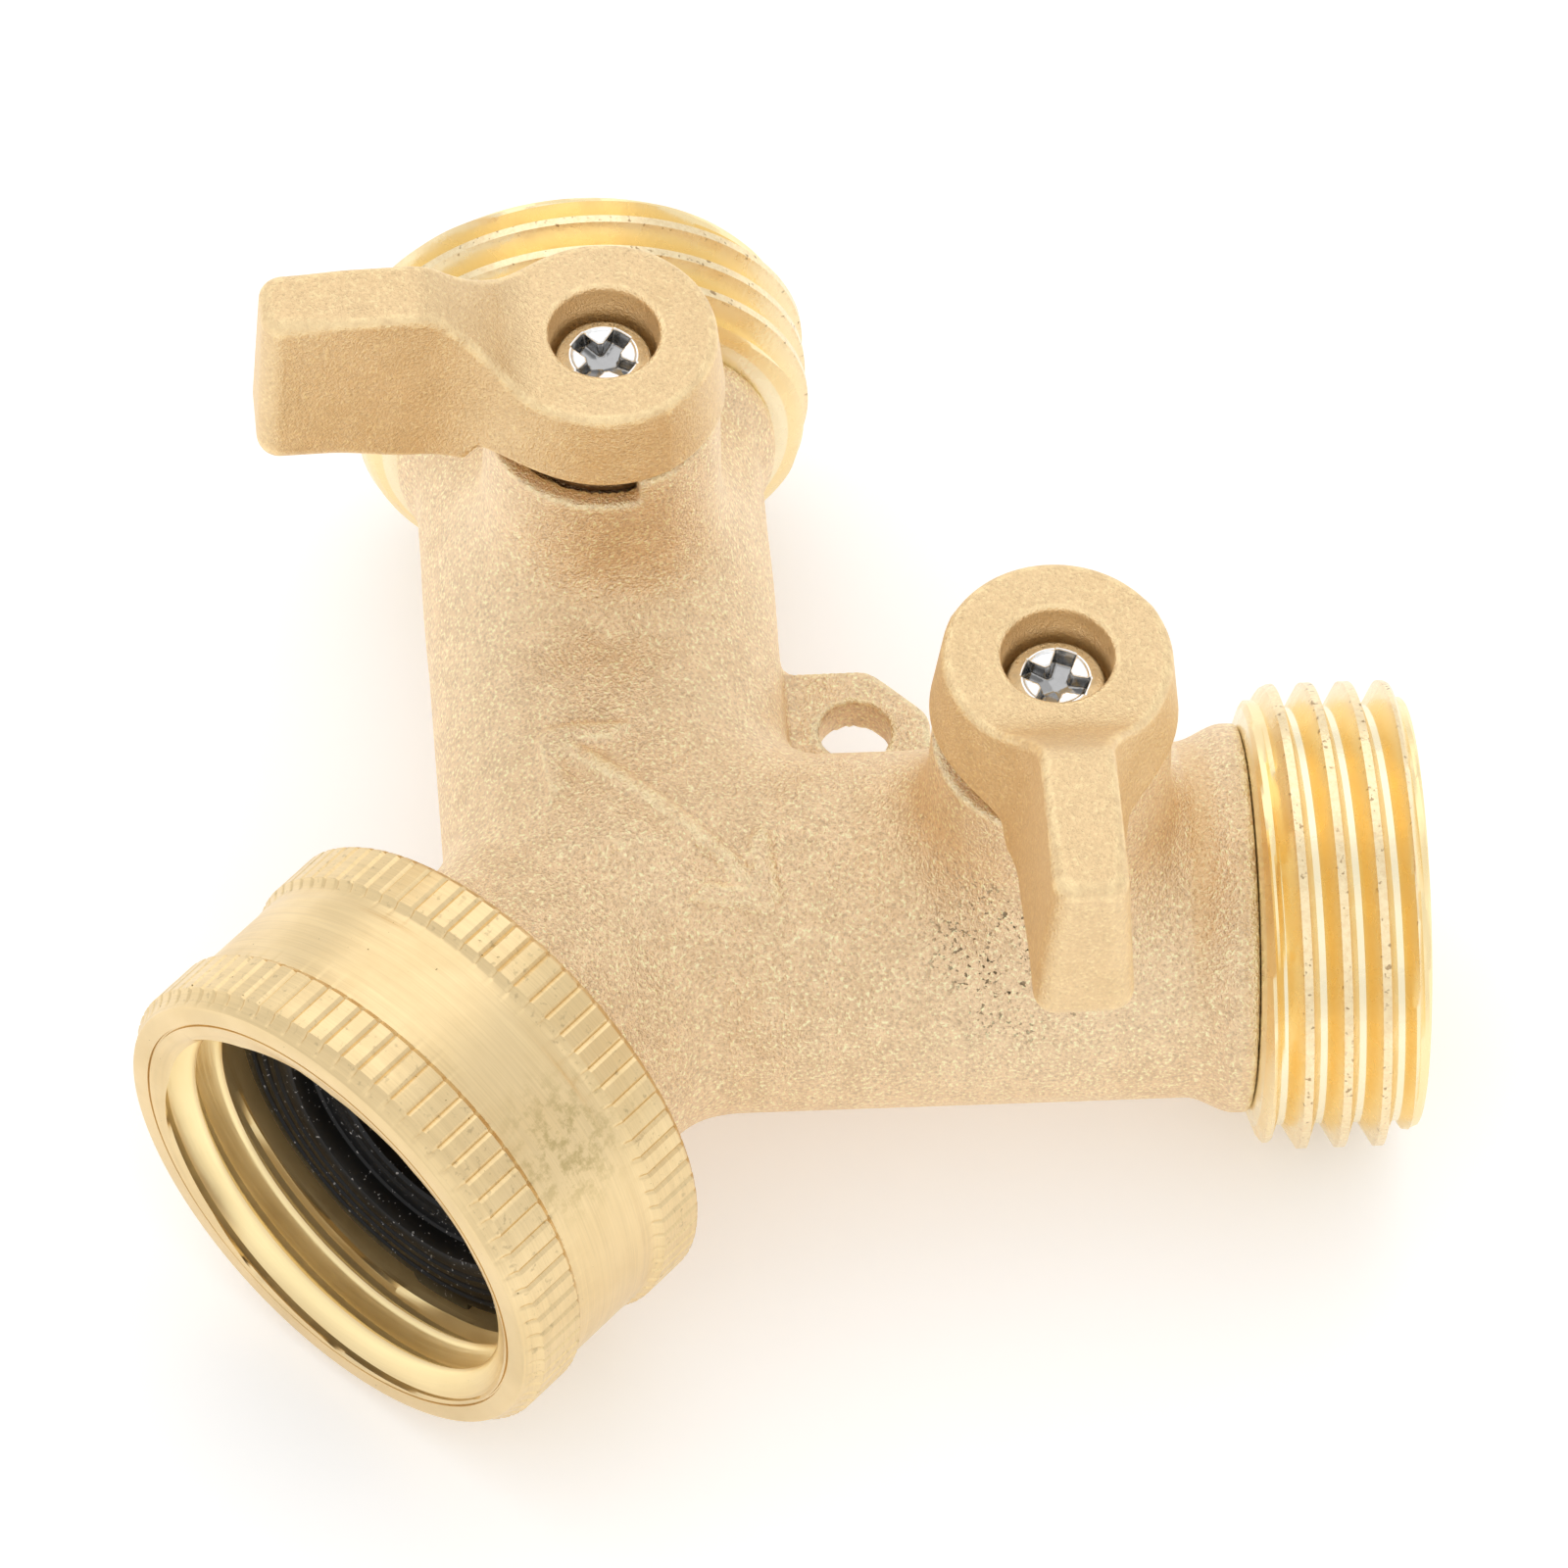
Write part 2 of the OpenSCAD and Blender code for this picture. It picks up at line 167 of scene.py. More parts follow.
def field_bend(field, points, reach=0.2):
    """How sharply a surface bends at its points, in 1/mm: above 0 on edges, below 0 in hollows."""
    total = -6 * field(*points.T)
    for axis in range(3):
        shift = np.zeros(3)
        shift[axis] = reach
        total = total + field(*(points + shift).T) + field(*(points - shift).T)
    return total / reach ** 2


def net_surface(field, low, high, cell, passes=3):
    """Vertices and quads where the field is 0, by surface nets on a grid, pulled onto the surface."""
    counts = [int(math.ceil((b - a) / cell)) + 1 for a, b in zip(low, high)]
    axes = [a + cell * np.arange(n) for a, n in zip(low, counts)]
    values = np.empty(counts)
    for i, x in enumerate(axes[0]):
        y, z = np.meshgrid(axes[1], axes[2], indexing="ij")
        values[i] = field(np.full_like(y, x), y, z)
    inside = values < 0
    total = np.zeros([n - 1 for n in counts] + [3])
    crossings = np.zeros([n - 1 for n in counts])
    for axis in range(3):
        others = [a for a in range(3) if a != axis]
        for first in (0, 1):
            for second in (0, 1):
                cut = [slice(None)] * 3
                cut[others[0]] = slice(first, counts[others[0]] - 1 + first)
                cut[others[1]] = slice(second, counts[others[1]] - 1 + second)
                ahead, behind = list(cut), list(cut)
                behind[axis] = slice(0, counts[axis] - 1)
                ahead[axis] = slice(1, counts[axis])
                v0, v1 = values[tuple(behind)], values[tuple(ahead)]
                crossed = inside[tuple(behind)] != inside[tuple(ahead)]
                share = np.where(crossed, v0 / np.where(crossed, v0 - v1, 1), 0)
                total[..., axis] += share
                total[..., others[0]] += crossed * first
                total[..., others[1]] += crossed * second
                crossings += crossed
    mixed = crossings > 0
    number = np.full(mixed.shape, -1)
    number[mixed] = np.arange(mixed.sum())
    corner = np.argwhere(mixed)
    points = np.array(low) + cell * (corner + total[mixed] / crossings[mixed][:, None])
    quads = []
    for axis in range(3):
        b, c = (axis + 1) % 3, (axis + 2) % 3
        behind = [slice(0, n - 1) if a == axis else slice(1, n - 1) for a, n in enumerate(counts)]
        ahead = [slice(1, n) if a == axis else slice(1, n - 1) for a, n in enumerate(counts)]
        start_inside, end_inside = inside[tuple(behind)], inside[tuple(ahead)]
        for flip, chosen in ((False, start_inside & ~end_inside), (True, ~start_inside & end_inside)):
            at = np.argwhere(chosen)
            at[:, b] += 1
            at[:, c] += 1
            ring = []
            for shift_b, shift_c in ((1, 1), (0, 1), (0, 0), (1, 0)):
                place = at.copy()
                place[:, b] -= shift_b
                place[:, c] -= shift_c
                ring.append(number[tuple(place.T)])
            faces = np.stack(ring, 1)
            quads.append(faces[:, ::-1] if flip else faces)
    for _ in range(passes):
        gradient = field_gradient(field, points, cell / 8)
        size = np.maximum((gradient ** 2).sum(1), 0.05)
        move = -(field(*points.T) / size)[:, None] * gradient
        points += np.clip(move, -cell / 2, cell / 2)
    return points, np.concatenate(quads)


def mesh_object(name, points, faces, matrix, attributes):
    """A mesh object in metres from points in mm. A mirroring matrix turns the faces over."""
    if matrix is not None:
        points = moved(points, matrix)
        if matrix.determinant() < 0:
            faces = [list(face)[::-1] for face in faces]
    data = bpy.data.meshes.new(name)
    data.from_pydata((np.asarray(points) * MM).tolist(), [], [list(face) for face in faces])
    for key, values in attributes.items():
        layer = data.attributes.new(key, "FLOAT", "POINT")
        layer.data.foreach_set("value", np.asarray(values, np.float32))
    data.polygons.foreach_set("use_smooth", [True] * len(data.polygons))
    data.update()
    made = bpy.data.objects.new(name, data)
    bpy.context.scene.collection.objects.link(made)
    return made


class Shell:
    """Collects rows of points round an axis into one closed mesh."""

    def __init__(self, angles):
        self.angles = angles
        self.points = []
        self.faces = []
        self.facts = []

    def ring(self, radius, along, fact=0.0):
        """One row of points round the +Y axis; returns its number."""
        count = len(self.angles)
        radius = np.broadcast_to(radius, count)
        along = np.broadcast_to(along, count)
        row = np.stack([radius * np.cos(self.angles), along, radius * np.sin(self.angles)], 1)
        self.points.append(row)
        self.facts.append(np.broadcast_to(fact, count))
        return len(self.points) - 1

    def join(self, first, second):
        """Faces between two rings."""
        count = len(self.angles)
        here = np.arange(count)
        there = np.roll(here, -1)
        a, b = first * count, second * count
        self.faces.append(np.stack([a + here, a + there, b + there, b + here], 1))

    def strip(self, rings):
        for first, second in zip(rings[:-1], rings[1:]):
            self.join(first, second)

    def helix_wall(self, radius, start, end, phase, fact):
        """A wall between two distances, whose rows follow the thread's helix, so its edges stay crisp.
        radius(angle, along) gives the wall, and fact(angle, along) what its points carry."""
        count, rows = len(self.angles), len(THREAD_SHARES)
        turn = self.angles / (2 * math.pi)
        first_turn = math.floor((start - phase) / PITCH) - 2
        last_turn = math.ceil((end - phase) / PITCH) + 2
        base = sum(len(p) for p in self.points)
        heights = []
        for whole in range(first_turn, last_turn):
            for share in THREAD_SHARES:
                height = phase + (whole + share - turn) * PITCH
                heights.append(np.clip(height, start, end))
        heights = np.array(heights)
        for height in heights:
            self.ring(radius(self.angles, height), height, fact(self.angles, height))
        here = np.arange(count)
        for k in range(len(heights) - 1):
            low, high = base + k * count, base + (k + 1) * count
            quad = np.stack([low + here, low + here + 1, high + here + 1, high + here], 1)
            if k < rows:
                quad = quad[:-1]
            else:
                quad[-1] = [low + count - 1, low - rows * count, high - rows * count, high + count - 1]
            self.faces.append(quad)

    def build(self, name, fact_name, matrix=None):
        """The mesh object, with points that coincide joined, and faces turned outwards."""
        points = np.concatenate(self.points)
        facts = {fact_name: np.concatenate(self.facts)}
        made = mesh_object(name, points, np.concatenate(self.faces), matrix, facts)
        work = bmesh.new()
        work.from_mesh(made.data)
        bmesh.ops.remove_doubles(work, verts=work.verts, dist=MERGE * MM)
        bmesh.ops.dissolve_degenerate(work, edges=work.edges, dist=MERGE * MM / 10)
        loose = [v for v in work.verts if not v.link_faces]
        bmesh.ops.delete(work, geom=loose, context="VERTS")
        if work.calc_volume(signed=True) < 0:
            bmesh.ops.reverse_faces(work, faces=work.faces)
        work.to_mesh(made.data)
        work.free()
        made.data.update()
        return made


# ---------------------------------------------------------------- cast body

TUBE_R = 10.2
JUNCTION_R = 10.4
FLARE_R = 11.15
FLARE_START = 31.6
FLARE_END = 34.4
INLET_BORE_R = 7.2
ARM_BORE_R = 4.8
CHAMBER_R = 8.6
CHAMBER_L = 15.6
SPIGOT_Y = 8.4
RIM_Z = 20.4
RIM_R = 6.7
BOSS_SWELL = 0.15
BOSS_WAIST_Z = 13
BOSS_BLEND = 4.4
WELL_R = 5.6
WELL_Z = 17.6
STOP_FLOOR = 18.7
STEM_HOLE_R = 4.08
POCKET_R = 5.2
POCKET_TOP = 9.5
CUT_PAST = 5
SNAP_GROOVE_R = 9.5
SNAP_GROOVE_Y = 9.6
TAB_REACH = float(cast_mesh[np.abs(cast_mesh[:, 0]) < 4][:, 1].max()) - JUNCTION_Y
TAB_CORNER = 2.3
TAB_ROOT_HALF = 13
TAB_ROOT_Y = 8
TAB_Z = float(mounts["hang_hole"]["pos_m"][2] / MM)
TAB_HALF = mounts["hang_hole"]["dims"]["length_mm"] / 2
HANG_Y = float(mounts["hang_hole"]["pos_m"][1] / MM) - JUNCTION_Y
HANG_R = mounts["hang_hole"]["dims"]["r_mm"]
STOP_START = math.radians(-105)
STOP_END = math.radians(18)
ARROW_Y = 2.4
ARROW_HALF = 8.4
ARROW_HEIGHT = 0.3
SHAFT_HALF_W = 0.5
HEAD_HALF_W = 0.75
HEAD_SLOPE = 0.8
HEAD_L = 3.2
CAST_REACH = 35
CAST_FLOOR = -12
CAST_CELL = 0.34


def arm_local(x, y, side):
    """Places in an arm's frame, across it and along it, from places in the junction's frame."""
    c, s = math.cos(ARM_ANGLE), math.sin(ARM_ANGLE)
    return side * x * c - y * s, side * x * s + y * c


def boss_distance(across, along, z):
    """The upright boss that carries a valve stem, waisted above its foot."""
    r = np.hypot(across, along - STEM_L)
    shape = RIM_R + BOSS_SWELL * step(-z, -RIM_Z, -BOSS_WAIST_Z)
    return capped(r - shape, z, 0, RIM_Z, 0.25)


def arm_distance(across, along, z):
    radius = TUBE_R + (FLARE_R - TUBE_R) * step(along, FLARE_START, FLARE_END)
    tube = capped(np.hypot(across, z) - radius, along, 0, SEAM_L, 0.35)
    return smooth_min(tube, boss_distance(across, along, z), BOSS_BLEND)


def arm_cut(across, along, z):
    """Below 0 in the waterway, ball chamber, stem hole, well and stop notch of an arm."""
    r = np.hypot(across, z)
    bore = capped(r - ARM_BORE_R, along, -1, CHAMBER_L + 1)
    chamber = capped(r - CHAMBER_R, along, CHAMBER_L, SEAM_L + CUT_PAST)
    from_stem = np.hypot(across, along - STEM_L)
    pocket = capped(from_stem - POCKET_R, z, 0, POCKET_TOP)
    hole = capped(from_stem - STEM_HOLE_R, z, 0, RIM_Z + CUT_PAST)
    well = capped(from_stem - WELL_R, z, WELL_Z, RIM_Z + CUT_PAST)
    after_start = math.sin(STOP_START) * across - math.cos(STOP_START) * (along - STEM_L)
    before_end = math.cos(STOP_END) * (along - STEM_L) - math.sin(STOP_END) * across
    notch = smooth_max(smooth_max(after_start, before_end, 0.2), STOP_FLOOR - z, 0.4)
    notch = np.maximum(notch, WELL_R - 1 - from_stem)
    return np.minimum.reduce([bore, chamber, pocket, hole, well, notch])


def tab_distance(x, y, z):
    """The flat hanging tab between the arms, with chamfered corners."""
    outline = smooth_max(y - TAB_REACH, (np.abs(x) + y - TAB_REACH - TAB_CORNER) * SLANT, 0.6)
    outline = np.maximum(outline, np.maximum(np.abs(x) - TAB_ROOT_HALF, TAB_ROOT_Y - y))
    return smooth_max(outline, np.abs(z - TAB_Z) - TAB_HALF, 0.4)


def arrow_distance(x, y, z):
    """A raised two-headed arrow on top of the junction, one head towards each arm."""
    along, across = np.abs(x), np.abs(y - ARROW_Y)
    shaft = np.maximum(along - ARROW_HALF, across - SHAFT_HALF_W)
    chevron = np.abs(across - (ARROW_HALF - along) * HEAD_SLOPE) - HEAD_HALF_W
    head = np.maximum(chevron, along - ARROW_HALF - 0.4)
    head = np.maximum(head, ARROW_HALF - HEAD_L - along)
    mark = np.minimum(shaft, head)
    return np.maximum(mark, -z)


def cast_field(x, y, z):
    """Signed distance of the casting in the CAD frame, about true near its surface."""
    y = y - JUNCTION_Y
    inlet = capped(np.hypot(x, z) - TUBE_R, y, SPIGOT_Y - JUNCTION_Y, 0, 0.3)
    inlet = smooth_min(inlet, np.sqrt(x * x + y * y + z * z) - JUNCTION_R, 0.5)
    right = arm_local(x, y, RIGHT)
    left = arm_local(x, y, LEFT)
    arms = smooth_min(arm_distance(*right, z), arm_distance(*left, z), 2.8)
    solid = smooth_min(inlet, arms, 1.5)
    solid = smooth_min(solid, tab_distance(x, y, z), 0.8)
    solid = smooth_min(solid, smooth_max(solid - ARROW_HEIGHT, arrow_distance(x, y, z), 0.35), 0.4)
    hollow = capped(np.hypot(x, z) - INLET_BORE_R, y, -JUNCTION_Y, 0)
    hollow = np.minimum(hollow, np.sqrt(x * x + y * y + z * z) - INLET_BORE_R - 0.1)
    hollow = np.minimum(hollow, arm_cut(*right, z))
    hollow = np.minimum(hollow, arm_cut(*left, z))
    hang_hole = np.hypot(x, y - HANG_Y) - HANG_R
    groove = np.maximum(SNAP_GROOVE_R - np.hypot(x, z), np.abs(y + JUNCTION_Y - SNAP_GROOVE_Y) - 1)
    hollow = np.minimum(hollow, groove)
    return smooth_max(smooth_max(solid, -hollow, 0.22), -hang_hole, 0.12)


points, quads = net_surface(
    cast_field,
    (-CAST_REACH, SPIGOT_Y - 1, CAST_FLOOR),
    (CAST_REACH, JUNCTION_Y + CAST_REACH, RIM_Z + 1),
    CAST_CELL,
)
casting = mesh_object("casting", points, quads, None, {"bend": field_bend(cast_field, points)})


# ---------------------------------------------------------------- handles

HUB_BOTTOM = 20.9
HUB_TOP = 26.35
COUNTERBORE_R = 3.14
COUNTERBORE_Z = 22.3
COLLAR_R = 5.2
LUG_HALF = math.radians(14.5)
DRIVE_R = 3.5
HUB_BOTTOM_R = 7.0
HUB_DRAFT = 0.11
LEVER_BOTTOM = 19.45
LEVER_HALF = 2.87
LEVER_DRAFT = 0.07
RAMP_START = 4.9
RAMP_END = 9.8
RAMP_RISE = (LEVER_TOP - HUB_TOP) / (RAMP_END - RAMP_START)
DRIVE_FLAT = 2.8
DRIVE_TOP = 21.4
HUB_FILLET = 4.2
TIP_DRAFT = 0.045
TIP_RADIUS = 1.35
COLLAR_BOTTOM = 18.2
LUG_R = 6.65
LUG_BOTTOM = 19.3
SCREW_HOLE_R = 2.05
HANDLE_LOW = 17.6
HANDLE_HALF = 7.6
HANDLE_CELL = 0.22


def handle_field(x, y, z):
    """Signed distance of a handle in the valve's frame, lever along +X."""
    r = np.hypot(x, y)
    hub_r = HUB_BOTTOM_R - (z - HUB_BOTTOM) * HUB_DRAFT
    half_width = LEVER_HALF - (z - LEVER_BOTTOM) * LEVER_DRAFT
    blade = np.maximum(np.abs(y) - half_width, -x)
    plan = smooth_min(r - hub_r, blade, HUB_FILLET)
    bottom = HUB_BOTTOM + (LEVER_BOTTOM - HUB_BOTTOM) * step(x, 7.2, 8.4)
    tip = x - LEVER_REACH + (z - LEVER_BOTTOM) * TIP_DRAFT
    sides = rounded_max(plan, tip, TIP_RADIUS)
    sides = rounded_max(sides, bottom - z, 0.45 + 0.9 * step(x, 11, 16))
    ramp = ((z - HUB_TOP) - (x - RAMP_START) * RAMP_RISE) / math.hypot(1, RAMP_RISE)
    top = smooth_max(smooth_min(z - HUB_TOP, ramp, 1.0), z - LEVER_TOP, 0.8)
    solid = rounded_max(sides, top, 0.5 + 0.35 * step(x, 14, 18))
    collar = capped(r - COLLAR_R, z, COLLAR_BOTTOM, HUB_BOTTOM + 1)
    lug = np.maximum(r - LUG_R, np.maximum(LUG_BOTTOM - z, z - HUB_BOTTOM - 0.5))
    lug = np.maximum(lug, np.abs(y) * math.cos(LUG_HALF) - x * math.sin(LUG_HALF))
    solid = np.minimum(solid, np.minimum(collar, lug))
    hollow = np.maximum(r - COUNTERBORE_R, COUNTERBORE_Z - z)
    hollow = np.minimum(hollow, np.maximum(r - SCREW_HOLE_R, z - COUNTERBORE_Z - 1))
    drive = np.maximum(np.maximum(r - DRIVE_R, np.abs(y) - DRIVE_FLAT), z - DRIVE_TOP)
    hollow = np.minimum(hollow, drive)
    return smooth_max(solid, -hollow, 0.3)


handle_points, handle_quads = net_surface(
    handle_field,
    (-HANDLE_HALF, -HANDLE_HALF, HANDLE_LOW),
    (LEVER_REACH + 0.8, HANDLE_HALF, LEVER_TOP + 0.8),
    HANDLE_CELL,
)
handle_r = np.hypot(handle_points[:, 0], handle_points[:, 1])
# Points on the drilled counterbore walls, which the brass paints lighter to lift their shade
drilled = (handle_r < COUNTERBORE_R + 0.1) & (handle_points[:, 2] > HUB_BOTTOM)
handle_facts = {"cut": drilled, "bend": field_bend(handle_field, handle_points)}
handles = {}
for side, side_name in SIDE_NAMES.items():
    handles[side] = mesh_object(
        side_name + "_lever", handle_points, handle_quads, valve_frame(side), handle_facts
    )


# ---------------------------------------------------------------- screws

SCREW_HEAD_R = 2.8
SCREW_TOP = COUNTERBORE_Z + 2.0
DISH_R = 1.85
DISH_SLOPE = 0.2
DOME_SLOPE = 0.62
SHANK_R = 1.85
SHANK_TIP = 16.1
CROSS_HALF_W = 0.62
CROSS_REACH = 1.88
CROSS_DEPTH = 1.45
SCREW_CELL = 0.09
CROSS_TURN = {RIGHT: math.radians(-23), LEFT: math.radians(40)}


def screw_field(x, y, z):
    """Signed distance of a domed cross-recessed screw in the valve's frame."""
    r = np.hypot(x, y)
    dome = SCREW_TOP - DOME_SLOPE * np.maximum(r - DISH_R - 0.1, 0)
    surface = np.where(r < DISH_R + 0.1, SCREW_TOP, dome) - step(DISH_R - r, -0.05, 0.1) * 0.12
    surface = surface - DISH_SLOPE * np.maximum(DISH_R - r, 0)
    head = smooth_max(r - SCREW_HEAD_R, smooth_max(COUNTERBORE_Z - z, (z - surface) * 0.8, 0.1), 0.3)
    shank = np.maximum(r - SHANK_R, np.maximum(SHANK_TIP - z, z - COUNTERBORE_Z - 0.5))
    solid = smooth_min(head, shank, 0.2)
    depth = SCREW_TOP - z
    across, along = np.abs(x), np.abs(y)
    narrow, wide = np.minimum(across, along), np.maximum(across, along)
    arm = np.maximum(narrow - CROSS_HALF_W + 0.12 * depth, wide - CROSS_REACH + 0.30 * depth)
    core = (across + along) * SLANT - 1.05 + 0.2 * depth
    floor_depth = depth - CROSS_DEPTH + 0.25 * wide
    recess = np.maximum(np.minimum(arm, core), floor_depth)
    return smooth_max(solid, -recess, 0.06)


screw_points, screw_quads = net_surface(
    screw_field,
    (-SCREW_HEAD_R - 0.2, -SCREW_HEAD_R - 0.2, 15.9),
    (SCREW_HEAD_R + 0.2, SCREW_HEAD_R + 0.2, SCREW_TOP + 0.2),
    SCREW_CELL,
)
screw_r = np.hypot(screw_points[:, 0], screw_points[:, 1])
dish_floor = SCREW_TOP - 0.15 - DISH_SLOPE * (DISH_R - screw_r)
# Points inside the cross recess, where the plating gets painted shade
recessed = step(dish_floor - screw_points[:, 2], 0.1, 0.3) * (screw_r < DISH_R)
screws = {}
for side, side_name in SIDE_NAMES.items():
    turn = Matrix.Rotation(CROSS_TURN[side], 4, "Z")
    screws[side] = mesh_object(
        side_name + "_screw", screw_points, screw_quads, valve_frame(side) @ turn, {"recess": recessed}
    )


# ---------------------------------------------------------------- outlet nipples

CREST_EDGE = CREST_W / 2 / PITCH
ROOT_START = CREST_EDGE + REAR_FLANK_W / PITCH
ROOT_END = ROOT_START + ROOT_W / PITCH - 1
THREAD_START = 0.478
LEFT_TIP_LOSS = 0.5
NIPPLE_BORE_R = 7.5
PLUG_R = 8.55
ORING_R = 6.9
SEAT_BORE_R = 4.9
SEAT_L = 31.0
ORING_START = 32.6
ORING_END = 34.6
# Places of the mesh rows in one pitch of thread
THREAD_SHARES = [-0.5, ROOT_END, -0.36, -0.24, -0.15, -CREST_EDGE, 0]
THREAD_SHARES += [CREST_EDGE, 0.2, 0.27, ROOT_START, 0.42]


def thread_form(along, angle, phase, crest_w=CREST_W):
    """0 in the valleys and 1 on the crests of a right-hand thread."""
    turns = (along - phase) / PITCH + angle / (2 * math.pi)
    from_crest = (turns - np.round(turns)) * PITCH
    front_flank = PITCH - CREST_W - ROOT_W - REAR_FLANK_W
    fall = np.where(from_crest > 0, (from_crest - crest_w / 2) / REAR_FLANK_W, 0)
    past_root = np.where(from_crest < 0, (-from_crest - crest_w / 2) / front_flank, fall)
    return 1 - np.clip(past_root, 0, 1)


def turned_frame(side):
    """As arm_frame but never mirrored, so that a right-hand thread stays right-hand."""
    return Matrix.Translation((0, JUNCTION_Y, 0)) @ Matrix.Rotation(-side * ARM_ANGLE, 4, "Z")


def nipple(side, tip_loss):
    """An outlet nipple along its arm, with a helical hose thread."""
    shell = Shell(np.linspace(0, 2 * math.pi, 240, endpoint=False))
    end = NIPPLE_END - tip_loss
    seam = SEAM_L + 0.06
    phase = seam + THREAD_START

    def wall(angle, along):
        form = thread_form(along, angle, phase)
        crest = MALE_ROOT_R + (MALE_R - MALE_ROOT_R) * form
        crest = np.minimum(crest, 12.95 + 0.4 * step(along, seam + 0.9, seam + 2.0))
        crest = np.minimum(crest, MALE_R - 1.0 * step(along, end - 0.95, end - 0.45))
        collar = 12.45 - 0.6 * step(along, seam + 0.85, seam + 1.3)
        pilot = MALE_ROOT_R + 0.4 * step(along, end - 1.1, end - 0.6)
        outer = np.maximum(np.maximum(crest, collar), pilot)
        outer = np.minimum(outer, 11.4 + (along - seam) * 2.6)
        return np.minimum(outer, 12.2 + (end - along) * 1.2)

    def crestness(angle, along):
        return (wall(angle, along) - MALE_ROOT_R) / (MALE_R - MALE_ROOT_R)

    shell.helix_wall(wall, seam, end, phase, crestness)
    angle = shell.angles
    rows = [shell.ring(wall(angle, np.full_like(angle, end)), end, 0.3)]
    rim = [(11.0, end + 0.02), (8.2, end + 0.02), (7.7, end - 0.15), (NIPPLE_BORE_R, end - 0.5)]
    for radius, along in rim:
        rows.append(shell.ring(radius, along, 0.3))
    inner = [(NIPPLE_BORE_R, seam + 0.5), (SEAT_BORE_R, seam + 0.5)]
    inner += [(SEAT_BORE_R, SEAT_L), (PLUG_R, SEAT_L)]
    inner += [(PLUG_R, ORING_START), (ORING_R, ORING_START), (ORING_R, ORING_END), (PLUG_R, ORING_END)]
    for radius, along in inner + [(PLUG_R, seam)]:
        rows.append(shell.ring(radius, along, 0.0))
    rows.append(shell.ring(wall(angle, np.full_like(angle, seam)), seam, 0.0))
    shell.strip(rows)
    return shell.build(SIDE_NAMES[side] + "_nipple", "crest", turned_frame(side))


nipples = {RIGHT: nipple(RIGHT, 0.0), LEFT: nipple(LEFT, LEFT_TIP_LOSS)}


# ---------------------------------------------------------------- swivel nut

MOUTH_R = 13.5
FLUTES = 77
KNURL_DEPTH = 0.15
NUT_CREST_W = 0.3
NUT_THREAD_START = 2.7
NUT_BORE_R = 10.28
NUT_RELIEF_R = 13.56
BACK_WALL = 2.5
MOUTH_SLOPE = 4.2
FLUTE_SHARES = [0, 0.09, 0.17, 0.21, 0.36, 0.5, 0.64, 0.79, 0.83, 0.91]


def nut():
    """The swivel nut round the inlet axis, with two knurled bands outside and the thread inside."""
    flute = 2 * math.pi / FLUTES
    angles = np.array([(i + share) * flute for i in range(FLUTES) for share in FLUTE_SHARES])
    shell = Shell(angles)
    place = (angles / flute) % 1
    place = np.minimum(place, 1 - place)
    groove = 1 - step(place, 0.0, 0.16)
    face, back = NUT_FACE, NUT_BACK
    smooth_r = NUT_R - 0.4

    crest_r, root_r = FEMALE_R, FEMALE_ROOT_R - 0.1
    phase = NUT_THREAD_START - PITCH * math.radians(80) / (2 * math.pi)

    def bore(angle, along):
        form = thread_form(along, angle, phase, NUT_CREST_W)
        thread = root_r - (root_r - crest_r) * form
        mouth = MOUTH_R - (along - face) * MOUTH_SLOPE
        relief = crest_r + (root_r + 0.1 - crest_r) * step(along, WASHER_Y - 1.3, WASHER_Y - 0.6)
        return np.maximum(thread, np.maximum(mouth, relief))

    def innerness(angle, along):
        return 1 - (bore(angle, along) - crest_r) / (root_r - crest_r)

    shell.helix_wall(bore, face, WASHER_Y, phase, innerness)
    mouth_r = bore(angles, np.full_like(angles, face))
    # Radius, distance behind the face, share of the knurl's depth, and 1 on a knurled band
    outer = [(14.65, 0.0, 0.0, 0), (14.85, 0.06, 0.0, 0), (14.95, 0.2, 0.1, 0), (15.0, 0.3, 0.3, 0)]
    outer += [(15.1, 0.55, 0.6, 1), (15.28, 0.85, 0.9, 1), (NUT_R, 1.05, 1.0, 1), (NUT_R, 2.5, 1.0, 1)]
    outer += [(NUT_R, 4.05, 1.0, 1), (15.3, 4.25, 0.9, 1), (15.12, 4.45, 0.4, 1), (smooth_r, 4.6, 0, 0)]
    outer += [(smooth_r, 6.0, 0, 0), (smooth_r, 8.0, 0, 0), (smooth_r, 9.6, 0, 0)]
    outer += [(smooth_r + 0.03, 9.75, 0, 0), (smooth_r, 9.9, 0, 0), (smooth_r, 10.6, 0, 0)]
    outer += [(15.15, 10.75, 0.5, 1), (15.32, 10.95, 1.0, 1), (NUT_R, 11.15, 1, 1), (NUT_R, 12.5, 1, 1)]
    outer += [(NUT_R, 13.9, 1, 1), (15.3, 14.15, 0.9, 1), (15.0, 14.35, 0.6, 1), (14.7, 14.4, 0.0, 0)]
    rows = [shell.ring(mouth_r, face, 0.5)]
    for out, drop in ((0.05, 0.0), (0.08, 0.14), (0.16, 0.14), (0.2, 0.0)):
        rows.append(shell.ring(MOUTH_R + out, face + drop, 0.3))
    for radius, offset, depth, kind in outer:
        rows.append(shell.ring(radius - KNURL_DEPTH * depth * groove, face + offset, 1.0 + kind))
    wall = back - BACK_WALL
    for radius, along in ((NUT_BORE_R, back), (NUT_BORE_R, wall), (NUT_RELIEF_R, wall)):
        rows.append(shell.ring(radius, along, 0.5))
    rows.append(shell.ring(bore(angles, np.full_like(angles, WASHER_Y)), WASHER_Y, 0.5))
    shell.strip(rows[::-1])
    return shell.build("knurled_nut", "zone")


knurled_nut = nut()


# ---------------------------------------------------------------- inlet washer

